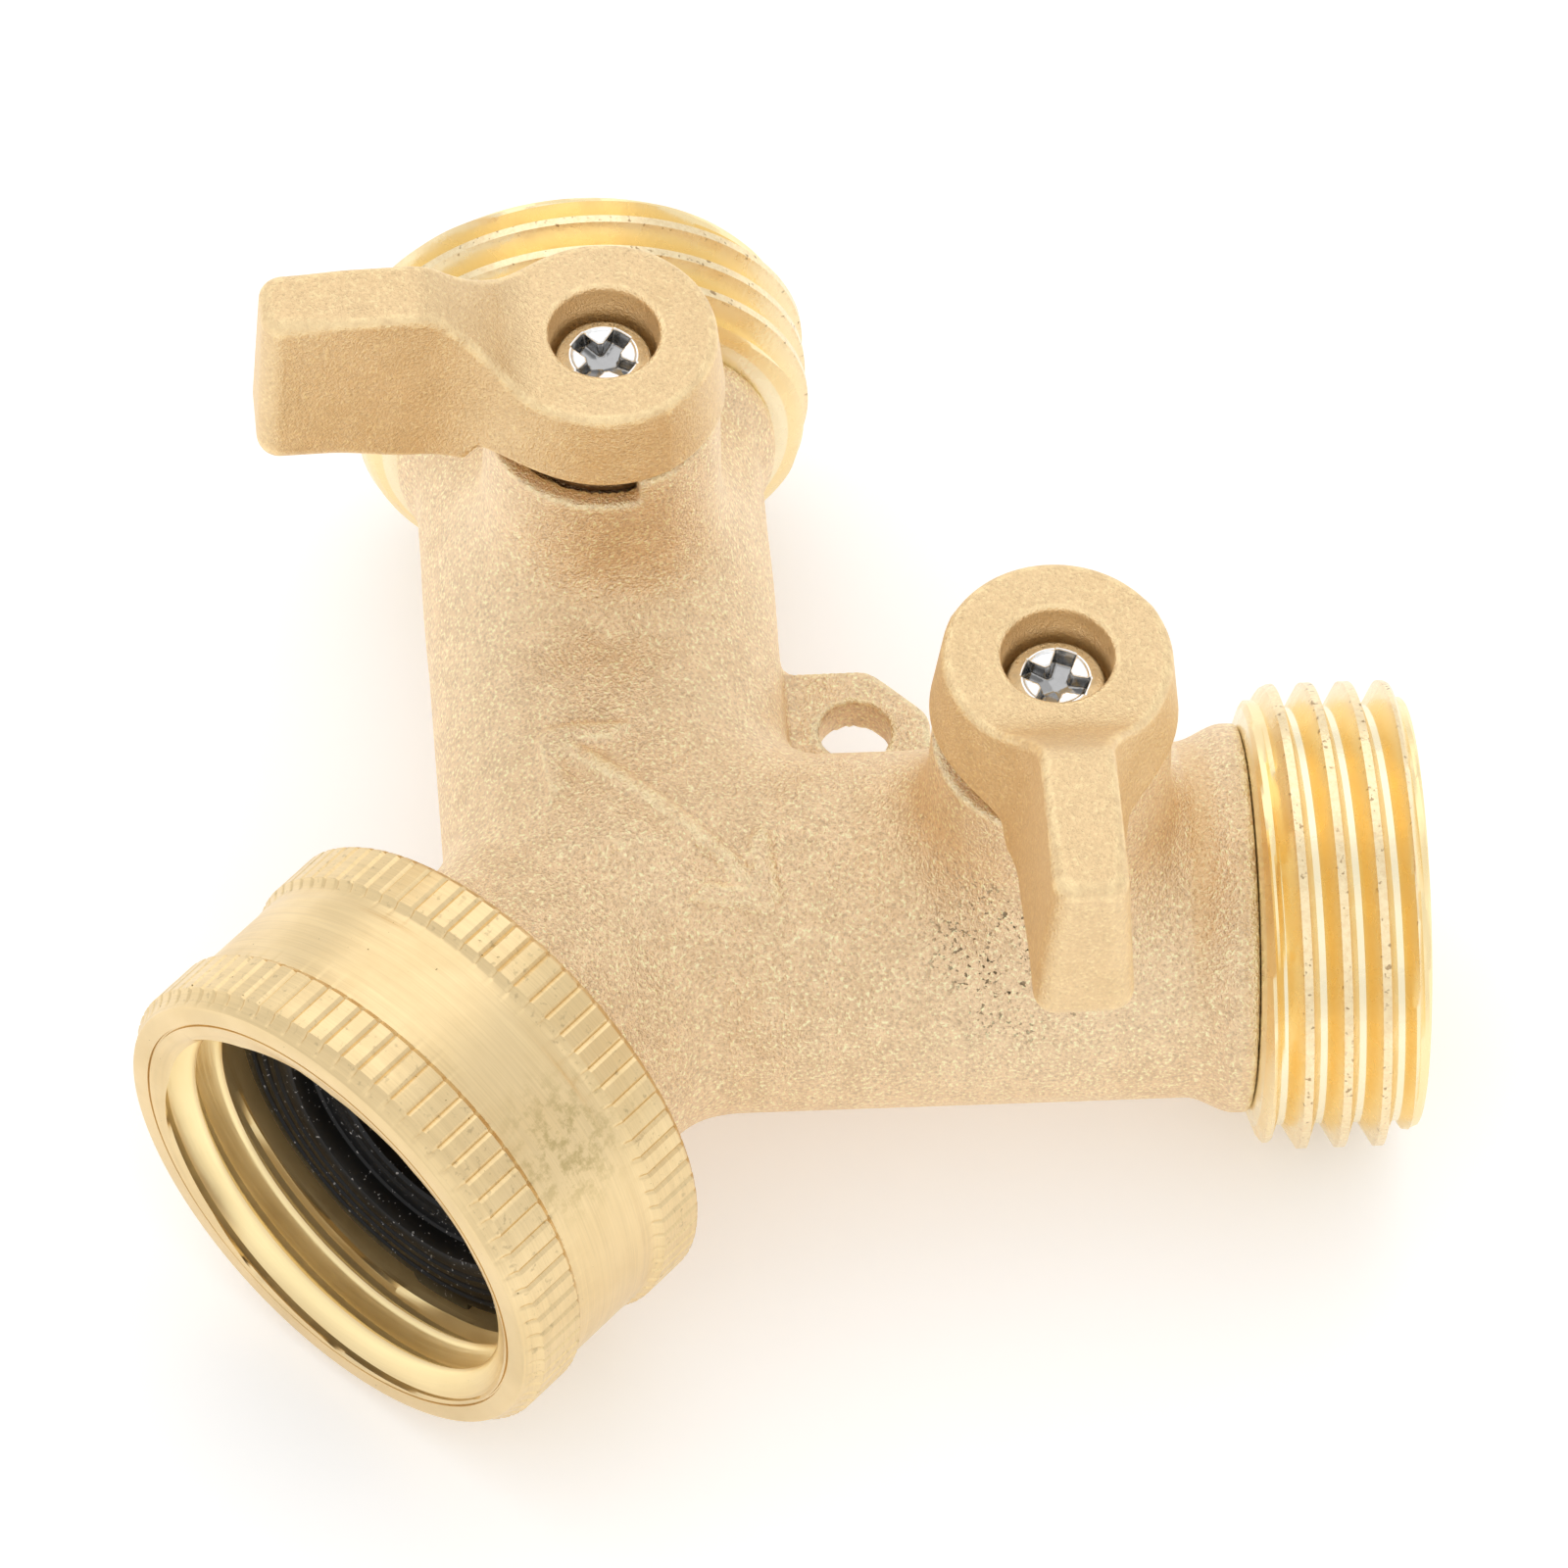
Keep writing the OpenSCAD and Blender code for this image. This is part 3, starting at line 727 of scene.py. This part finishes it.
EAR_ANGLE = math.radians(-77)
EAR_RISE = 0.6
WASHER_R = 12.7
WASHER_BORE_R = 6.4


def washer():
    """The inlet washer, with two ears, fine ridges and a step down to its bore."""
    shell = Shell(np.linspace(0, 2 * math.pi, 360, endpoint=False))
    from_ear = np.abs((shell.angles - EAR_ANGLE + math.pi / 2) % math.pi - math.pi / 2)
    ear = 1 - step(from_ear, math.radians(8.6), math.radians(9.6))
    front, back = WASHER_Y, WASHER_BACK
    rim = WASHER_R + EAR_RISE * ear
    rows = []
    # Radius, and depth below the front
    ridges = [(12.3, 0.0), (11.9, 0.0), (11.8, 0.16), (11.6, 0.2), (11.45, 0.03), (11.0, 0.0), (10.9, 0.16)]
    ridges += [(10.7, 0.2), (10.55, 0.03), (10.1, 0.0), (10.0, 0.16), (9.8, 0.2), (9.65, 0.03), (9.0, 0.0)]
    ridges += [(8.75, 0.12), (8.6, 0.5), (8.55, 1.2), (8.4, 1.35), (7.6, 1.4), (7.5, 1.2)]
    ridges += [(7.3, 1.2), (7.2, 1.4)]
    rows.append(shell.ring(rim, back))
    rows.append(shell.ring(rim, front + 0.25))
    rows.append(shell.ring(rim - 0.2, front + 0.05))
    for radius, drop in ridges:
        rows.append(shell.ring(radius, front + drop + 0.02))
    for radius, along in ((6.6, front + 1.4), (WASHER_BORE_R, front + 1.6), (WASHER_BORE_R, back)):
        rows.append(shell.ring(radius, along))
    rows.append(rows[0])
    shell.strip(rows)
    return shell.build("ribbed_washer", "fact")


ribbed_washer = washer()


# ---------------------------------------------------------------- materials

class Nodes:
    """Short names for making shader nodes."""

    def __init__(self, name):
        self.material = bpy.data.materials.new(name)
        self.material.use_nodes = True
        self.tree = self.material.node_tree
        self.shader = self.tree.nodes["Principled BSDF"]
        self.place = self.add("ShaderNodeTexCoord").outputs["Object"]

    def add(self, kind, **settings):
        made = self.tree.nodes.new(kind)
        for key, value in settings.items():
            setattr(made, key, value)
        return made

    def set(self, socket, value):
        if isinstance(value, bpy.types.NodeSocket):
            self.tree.links.new(value, socket)
        elif isinstance(value, tuple) and len(value) == 3 and socket.type == "RGBA":
            socket.default_value = (*value, 1)
        else:
            socket.default_value = value

    def surface(self, **values):
        for key, value in values.items():
            self.set(self.shader.inputs[key.replace("_", " ")], value)

    def math(self, operation, a, b):
        made = self.add("ShaderNodeMath", operation=operation)
        self.set(made.inputs[0], a)
        self.set(made.inputs[1], b)
        return made.outputs[0]

    def noise(self, size_mm, detail=3.0, roughness=0.5, place=None):
        made = self.add("ShaderNodeTexNoise")
        self.set(made.inputs["Vector"], place or self.place)
        made.inputs["Scale"].default_value = 1 / (size_mm * MM)
        made.inputs["Detail"].default_value = detail
        made.inputs["Roughness"].default_value = roughness
        return made.outputs["Fac"]

    def ramp(self, value, low, high, start=0.0, end=1.0):
        made = self.add("ShaderNodeMapRange", clamp=True)
        self.set(made.inputs["Value"], value)
        for key, number in (("From Min", low), ("From Max", high), ("To Min", start), ("To Max", end)):
            made.inputs[key].default_value = number
        return made.outputs["Result"]

    def mix(self, share, first, second):
        made = self.add("ShaderNodeMix", data_type="RGBA")
        self.set(made.inputs["Factor"], share)
        self.set(made.inputs["A"], first)
        self.set(made.inputs["B"], second)
        return made.outputs["Result"]

    def fact(self, name):
        return self.add("ShaderNodeAttribute", attribute_name=name).outputs["Fac"]

    def along(self, axis, origin=(0, 0, 0)):
        """Distance along an axis from an origin, in metres."""
        shifted = self.add("ShaderNodeVectorMath", operation="SUBTRACT")
        self.set(shifted.inputs[0], self.place)
        shifted.inputs[1].default_value = origin
        made = self.add("ShaderNodeVectorMath", operation="DOT_PRODUCT")
        self.set(made.inputs[0], shifted.outputs[0])
        made.inputs[1].default_value = axis
        return made.outputs["Value"]

    def near(self, centre_mm, radius_mm):
        """1 at a point, falling to 0 at a radius from it."""
        made = self.add("ShaderNodeVectorMath", operation="DISTANCE")
        self.set(made.inputs[0], self.place)
        made.inputs[1].default_value = [c * MM for c in centre_mm]
        return self.ramp(made.outputs["Value"], radius_mm * MM * 0.3, radius_mm * MM, 1.0, 0.0)

    def stretched(self, axis, squeeze):
        """Places squeezed along every direction but one axis, for marks that run round that axis."""
        made = self.add("ShaderNodeVectorMath", operation="MULTIPLY")
        self.set(made.inputs[0], self.place)
        made.inputs[1].default_value = [1 if a else squeeze for a in axis]
        return made.outputs[0]

    def bump(self, height, depth_mm):
        made = self.add("ShaderNodeBump")
        made.inputs["Distance"].default_value = depth_mm * MM
        self.set(made.inputs["Height"], height)
        return made.outputs["Normal"]


def shaded(colour, share):
    return tuple(min(c * share, 1.0) for c in colour)


# Where the painted shade round the bosses is centred, and how far it reaches
BOSS_SHADE_Z = 11.0
BOSS_SHADE_REACH = 15.0


def sandblasted(name, colour, dark, grain_mm, depth_mm, roughness, contrast, pits=None):
    """Grainy cast brass with painted shade and glints on the grain, edges lighter partly from wear and partly by a
    painted highlight, painted golden shade in the hollows round the bosses, and painted light on drilled walls.
    """
    n = Nodes(name)
    grain = n.noise(grain_mm, 2.0, 0.6)
    fine = n.noise(grain_mm * 0.5, 1.0, 0.5)
    broad = n.noise(9.0, 3.0, 0.55)
    height = n.math("ADD", n.math("MULTIPLY", grain, 1.0), n.math("MULTIPLY", fine, 0.4))
    height = n.math("ADD", height, n.math("MULTIPLY", n.noise(3.5, 1.0), 3.0))
    tint = n.mix(n.ramp(broad, 0.35, 0.65), colour, dark)
    tint = n.mix(n.ramp(n.noise(1.4, 2.0), 0.40, 0.62, 0.0, 0.45 * contrast), tint, shaded(colour, 1.12))
    # Beside the grain's own tone: painted shade in the grain's low points and painted glints on its high points
    tint = n.mix(n.ramp(grain, 0.30, 0.48, 0.55 * contrast, 0.0), tint, shaded(colour, 0.62))
    tint = n.mix(n.ramp(grain, 0.54, 0.68, 0.0, contrast), tint, shaded(colour, 1.4))
    bend = n.fact("bend")
    # Convex edges lightened: partly wear, partly a painted highlight
    worn = n.math("MULTIPLY", n.ramp(bend, 0.5, 1.6), n.ramp(n.noise(0.8, 3.0), 0.40, 0.62, 0.15, 0.8))
    tint = n.mix(worn, tint, shaded(colour, 1.3))
    boss_tops = [(side * stem_at[0], stem_at[1], BOSS_SHADE_Z) for side in (LEFT, RIGHT)]
    by_boss = n.math("MAXIMUM", *[n.near(top, BOSS_SHADE_REACH) for top in boss_tops])
    # Painted shade: a deeper orange gold in the concave fillets round the bosses, where shade and interreflection
    # fall
    hollow = n.math("MULTIPLY", n.ramp(bend, -0.45, -0.05, 0.8, 0.0), by_boss)
    tint = n.mix(hollow, tint, (colour[0] * 0.94, colour[1] * 0.80, colour[2] * 0.56))
    if pits is not None:
        spots = n.noise(0.34, 2.0, 0.6)
        mask = n.math("MULTIPLY", n.near(*pits), n.ramp(n.noise(2.2, 2.0), 0.40, 0.55))
        pit = n.math("MULTIPLY", n.ramp(spots, 0.60, 0.64), mask)
        height = n.math("SUBTRACT", height, n.math("MULTIPLY", pit, 1.5))
        tint = n.mix(pit, tint, (0.08, 0.06, 0.03))
    # Base colour: a lighter copy of the brass where cut is 1, painted light on the drilled counterbore walls
    n.surface(
        Base_Color=n.mix(n.fact("cut"), tint, shaded(colour, 1.25)),
        Metallic=1.0,
        Roughness=n.ramp(fine, 0.3, 0.7, roughness - 0.06, roughness + 0.06),
        Normal=n.bump(height, depth_mm),
    )
    return n.material


def turned(name, axis_index, colour, dark, roughness, tarnish):
    """Turned brass: lines round an axis, a tarnish patch, and where zone is below 1 a lighter gold and a faint
    glow in the bore, painted light lifting its shade.
    """
    n = Nodes(name)
    axis = [i == axis_index for i in range(3)]
    zone = n.fact("zone")
    lines = n.noise(0.12, 2.0, 0.6, n.stretched(axis, 0.02))
    broad_lines = n.noise(0.7, 3.0, 0.7, n.stretched(axis, 0.03))
    cloud = n.noise(5.0, 4.0, 0.6)
    tint = n.mix(n.ramp(cloud, 0.35, 0.7), colour, dark)
    tint = n.mix(n.ramp(lines, 0.30, 0.60, 0.30, 0.0), tint, shaded(colour, 0.7))
    tint = n.mix(n.ramp(broad_lines, 0.55, 0.75, 0.0, 0.35), tint, shaded(colour, 1.2))
    streaks = n.math("MULTIPLY", n.ramp(n.noise(0.9, 4.0, 0.7), 0.47, 0.62), n.near(*tarnish))
    tint = n.mix(n.math("MULTIPLY", streaks, 0.6), tint, (0.42, 0.32, 0.12))
    on_knurl = n.ramp(zone, 1.0, 1.6)
    dirt = n.math("MULTIPLY", n.ramp(n.noise(0.45, 3.0, 0.6), 0.60, 0.72, 0.0, 0.55), on_knurl)
    tint = n.mix(dirt, tint, shaded(colour, 0.5))
    tint = n.mix(n.ramp(n.noise(0.35, 2.0), 0.76, 0.79), tint, (0.16, 0.11, 0.04))
    # Painted light in the bore: a lighter gold, and further down a faint golden glow, lift its shade
    depth = n.along((0, 1, 0), (0, NUT_FACE * MM, 0))
    inside = n.math("MULTIPLY", n.ramp(zone, 0.9, 1.0, 1.0, 0.0), n.ramp(depth, 0.2 * MM, 1.2 * MM))
    tint = n.mix(inside, tint, (1.0, 0.83, 0.46))
    n.surface(
        Base_Color=tint,
        Metallic=1.0,
        Roughness=n.ramp(cloud, 0.3, 0.7, roughness - 0.05, roughness + 0.08),
        Emission_Color=(1.0, 0.62, 0.24),
        Emission_Strength=n.math("MULTIPLY", inside, 0.06),
        Normal=n.bump(lines, 0.01),
    )
    return n.material


def thread_finish(name):
    """Turned thread: painted golden interreflection in the valleys, a painted highlight along the root, and pale,
    worn and specked crests.
    """
    n = Nodes(name)
    crest = n.fact("crest")
    on_crest = n.ramp(crest, 0.8, 0.95)
    specks = n.math("MULTIPLY", n.ramp(n.noise(0.4, 2.0), 0.63, 0.71, 0.0, 0.75), on_crest)
    worn = n.math("MULTIPLY", n.ramp(n.noise(0.3, 3.0, 0.7), 0.40, 0.65), on_crest)
    pale = (0.95, 0.79, 0.50)
    golden = (0.98, 0.79, 0.44)
    # Valleys a warmer gold than the crests: painted interreflection
    tint = n.mix(n.ramp(crest, 0.35, 0.9), golden, pale)
    # Lighter where crest is near 0, along the root and in the bore: a painted highlight
    tint = n.mix(n.ramp(crest, 0.0, 0.06, 1.0, 0.0), tint, (0.97, 0.86, 0.60))
    tint = n.mix(n.math("MULTIPLY", worn, 0.4), tint, (0.75, 0.52, 0.27))
    tint = n.mix(specks, tint, (0.30, 0.18, 0.08))
    n.surface(
        Base_Color=tint,
        Metallic=1.0,
        Roughness=n.ramp(n.noise(1.5, 2.0), 0.3, 0.7, 0.22, 0.34),
        Normal=n.bump(n.noise(0.35, 2.0), 0.016),
    )
    return n.material


def rubber(name):
    """Black rubber with a thin film and specks of dust."""
    n = Nodes(name)
    dust = n.ramp(n.noise(0.22, 1.0), 0.70, 0.74)
    film = n.ramp(n.noise(3.0, 3.0), 0.4, 0.7, 0.0, 0.35)
    tint = n.mix(film, (0.004, 0.004, 0.004), (0.012, 0.012, 0.013))
    tint = n.mix(dust, tint, (0.35, 0.34, 0.33))
    n.surface(
        Base_Color=tint,
        Roughness=n.ramp(dust, 0, 1, 0.42, 0.8),
        Specular_IOR_Level=0.3,
        Normal=n.bump(n.noise(0.3, 2.0), 0.01),
    )
    return n.material


def plated(name, colour, roughness):
    """Plated metal, with painted shade in a recess."""
    n = Nodes(name)
    worn = n.noise(0.6, 3.0)
    tint = n.mix(n.ramp(worn, 0.4, 0.7), colour, shaded(colour, 0.85))
    # Painted shade: the plating darkened to 0.3 of its colour where recess is 1
    n.surface(
        Base_Color=n.mix(n.math("MULTIPLY", n.fact("recess"), 0.85), tint, shaded(colour, 0.3)),
        Metallic=1.0,
        Roughness=n.ramp(worn, 0.3, 0.7, roughness * 0.7, roughness * 1.5),
        Normal=n.bump(n.noise(0.25, 2.0), 0.004),
    )
    return n.material


def moulded(name, colour, roughness):
    """A plain inner finish with a little cloud and grain."""
    n = Nodes(name)
    cloud = n.noise(2.0, 3.0)
    n.surface(
        Base_Color=n.mix(n.ramp(cloud, 0.35, 0.65), colour, shaded(colour, 0.9)),
        Roughness=n.ramp(cloud, 0.3, 0.7, roughness - 0.05, roughness + 0.05),
        Normal=n.bump(n.noise(0.2, 2.0), 0.006),
    )
    return n.material


pit_centre = (20.4, JUNCTION_Y + 10.2, 7.6)
body_brass = sandblasted(
    "body_brass", (0.87, 0.66, 0.43), (0.83, 0.61, 0.38), 0.22, 0.14, 0.46, 1.1, (pit_centre, 7.0)
)
handle_brass = sandblasted("handle_brass", (0.82, 0.605, 0.35), (0.79, 0.575, 0.32), 0.22, 0.08, 0.44, 0.5)
tarnish_centre = (NUT_R * math.cos(math.radians(42)), 6.4, NUT_R * math.sin(math.radians(42)))
nut_brass = turned("nut_brass", 1, (0.85, 0.655, 0.365), (0.79, 0.60, 0.32), 0.33, (tarnish_centre, 5.0))
thread_brass = thread_finish("nipple_brass")
stem_brass = moulded("stem_brass", (0.78, 0.60, 0.28), 0.3)
washer_rubber = rubber("washer_rubber")
screw_metal = plated("screw_metal", (0.95, 0.95, 0.95), 0.12)
ball_metal = plated("ball_metal", (0.78, 0.78, 0.78), 0.08)
wire_metal = plated("wire_metal", (0.55, 0.55, 0.55), 0.25)
ptfe = moulded("ptfe", (0.85, 0.85, 0.82), 0.4)


def finish_piece(piece, material, slot, body, *nodes):
    piece.data.materials.clear()
    piece.data.materials.append(material)
    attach(piece, body)
    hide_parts(*nodes)


def sharpen(piece, degrees):
    piece.data.set_sharp_from_angle(angle=math.radians(degrees))


finish_piece(casting, body_brass, "cast_brass", "splitter_body", "cast_body")
finish_piece(knurled_nut, nut_brass, "turned_brass", "inlet_nut", "swivel_nut")
finish_piece(ribbed_washer, washer_rubber, "black_rubber", "inlet_nut", "inlet_washer")
for side, side_name in SIDE_NAMES.items():
    valve = side_name + "_valve"
    finish_piece(handles[side], handle_brass, "cast_handle", valve, side_name + "_handle")
    finish_piece(screws[side], screw_metal, "screw_plating", valve, side_name + "_handle_screw")
    nipple_node = side_name + "_outlet_nipple"
    finish_piece(nipples[side], thread_brass, "thread_brass", "splitter_body", nipple_node)
    sharpen(nipples[side], 28)
sharpen(knurled_nut, 28)
sharpen(ribbed_washer, 35)

CAD_FINISHES = {
    "ball": ball_metal,
    "stem": stem_brass,
    "seat": ptfe,
    "thrust_washer": ptfe,
    "oring": washer_rubber,
    "snap_ring": wire_metal,
}
for node_name, node_object in frame["nodes"].items():
    if node_object.hide_render:
        continue
    for ending, material in CAD_FINISHES.items():
        if node_name.endswith(ending):
            node_object.data.materials.clear()
            node_object.data.materials.append(material)


# ---------------------------------------------------------------- floor, light and camera

def aimed(made, place, target):
    made.location = place
    made.rotation_mode = "QUATERNION"
    made.rotation_quaternion = (Vector(target) - Vector(place)).to_track_quat("-Z", "Y")


def area_light(name, place, size, watts):
    data = bpy.data.lights.new(name, "AREA")
    data.shape = "RECTANGLE"
    data.size, data.size_y = size
    data.energy = watts
    made = bpy.data.objects.new(name, data)
    bpy.context.scene.collection.objects.link(made)
    aimed(made, place, (0, JUNCTION_Y * MM, 0))


NIPPLE_CREST_Y = JUNCTION_Y + (NIPPLE_END - 0.85) * math.cos(ARM_ANGLE)
floor_slope = (NUT_R - MALE_R) / (NIPPLE_CREST_Y - NUT_BACK)
floor_size = 3.0
corners = []
for x in (-1, 1):
    for y in (-1, 1):
        height = -NUT_R * MM + (y * floor_size - NUT_BACK * MM) * floor_slope
        corners.append((x * floor_size, y * floor_size, height))
floor_data = bpy.data.meshes.new("floor")
floor_data.from_pydata(corners, [], [(0, 2, 3, 1)])
floor = bpy.data.objects.new("floor", floor_data)
bpy.context.scene.collection.objects.link(floor)
floor_nodes = Nodes("floor_paper")
floor_nodes.surface(
    Base_Color=floor_nodes.mix(floor_nodes.noise(60.0, 2.0), (0.93, 0.93, 0.93), (0.95, 0.95, 0.95)),
    Roughness=0.8,
    Emission_Color=(1.0, 1.0, 1.0),
    Emission_Strength=0.22,
)
floor_data.materials.append(floor_nodes.material)

world = bpy.data.worlds.new("studio")
bpy.context.scene.world = world
world.use_nodes = True
world.node_tree.nodes["Background"].inputs["Color"].default_value = (1, 1, 1, 1)
world.node_tree.nodes["Background"].inputs["Strength"].default_value = 0.92
area_light("key", (-0.5, 0.4, 0.9), (1.2, 1.2), 2.1)
area_light("fill", (0.7, -0.5, 0.9), (1.0, 1.0), 0.6)

LENS_MM = 254.5
CAMERA_RIGHT = 8.930
CAMERA_UP = 8.831
CAMERA_BACK = 633.557
camera_data = bpy.data.cameras.new("camera")
camera_data.sensor_width = 36
camera_data.lens = LENS_MM
camera = bpy.data.objects.new("camera", camera_data)
bpy.context.scene.collection.objects.link(camera)
azimuth, elevation, roll = math.radians(39.183), math.radians(54.699), math.radians(2.337)
back = Vector((
    math.sin(azimuth) * math.cos(elevation),
    -math.cos(azimuth) * math.cos(elevation),
    math.sin(elevation),
))
level_right = Vector((math.cos(azimuth), math.sin(azimuth), 0))
level_up = back.cross(level_right)
right = level_right * math.cos(roll) + level_up * math.sin(roll)
up = back.cross(right)
junction = Vector((0, JUNCTION_Y, 0))
camera_at = junction + CAMERA_RIGHT * right + CAMERA_UP * up + CAMERA_BACK * back
camera.matrix_world = Matrix.Translation(camera_at * MM) @ Matrix((right, up, back)).transposed().to_4x4()
camera_data.clip_end = 10
bpy.context.scene.camera = camera
bpy.context.scene.view_settings.view_transform = "Standard"
